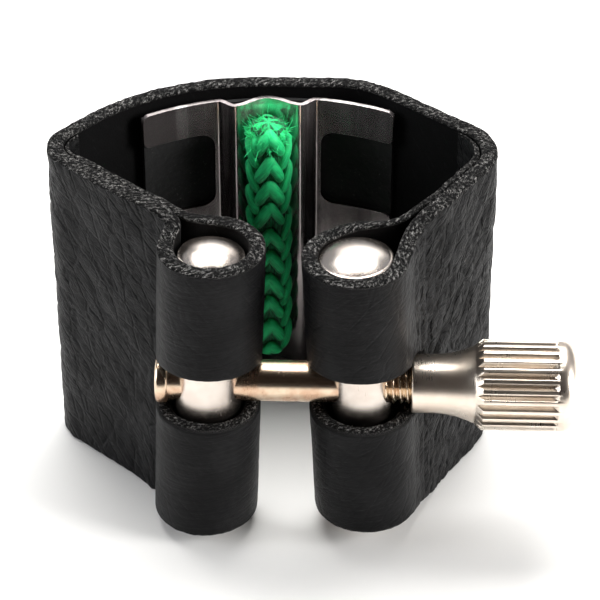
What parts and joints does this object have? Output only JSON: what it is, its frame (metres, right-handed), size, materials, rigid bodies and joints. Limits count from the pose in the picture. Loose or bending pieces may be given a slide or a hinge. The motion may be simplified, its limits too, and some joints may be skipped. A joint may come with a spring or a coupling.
{
  "type": "saxophone ligature",
  "caption": "Leather saxophone ligature: a black strap looped round two posts, clamped by a bolt and knurled thumb nut, with a metal reed plate holding a green braided cord.",
  "frame": {"origin": "on the axis of the mouthpiece opening, in the plane of the strap's lower edge", "axes": "+Z along the mouthpiece, up through the band; +X along the clamp bolt towards the thumb nut; -Y towards the two posts"},
  "size_m": [0.0451, 0.0292, 0.03],
  "materials": {
    "leather": "pebbled black grain, satin, with grey fibrous cut edges",
    "post_metal": "polished nickel plate",
    "bolt_metal": "worn nickel over brass, warm",
    "nut_metal": "champagne nickel, finely turned",
    "plate_metal": "bright bent sheet",
    "suede": "black suede nap with pale specks",
    "cord": "glossy green braid",
    "cord_yarn": "straight filament yarn"
  },
  "bodies": {
    "root": {"strap": "leather", "left_post": "post_metal", "clamp_bolt": "bolt_metal", "reed_plate": "plate_metal", "plate_backing": "suede", "cord_sheath": "cord", "cord_core": "cord_yarn"},
    "right_clamp": {"right_loop": "leather", "right_post": "post_metal"},
    "thumb_nut": {"thumb_nut": "nut_metal"}
  },
  "joints": [
    {"name": "clamp_travel", "type": "slide", "parent": "root", "child": "right_clamp", "axis": [1, 0, 0], "range_m": [-0.0024, 0.0012]},
    {"name": "thumb_nut_turn", "type": "hinge", "parent": "right_clamp", "child": "thumb_nut", "pos_m": [0.01252, -0.012, 0.015], "axis": [1, 0, 0], "range_deg": [-1440, 720]}
  ],
  "couplings": [
    {"joint": "thumb_nut_turn", "follows": "clamp_travel", "rad_per_m": 10472}
  ]
}
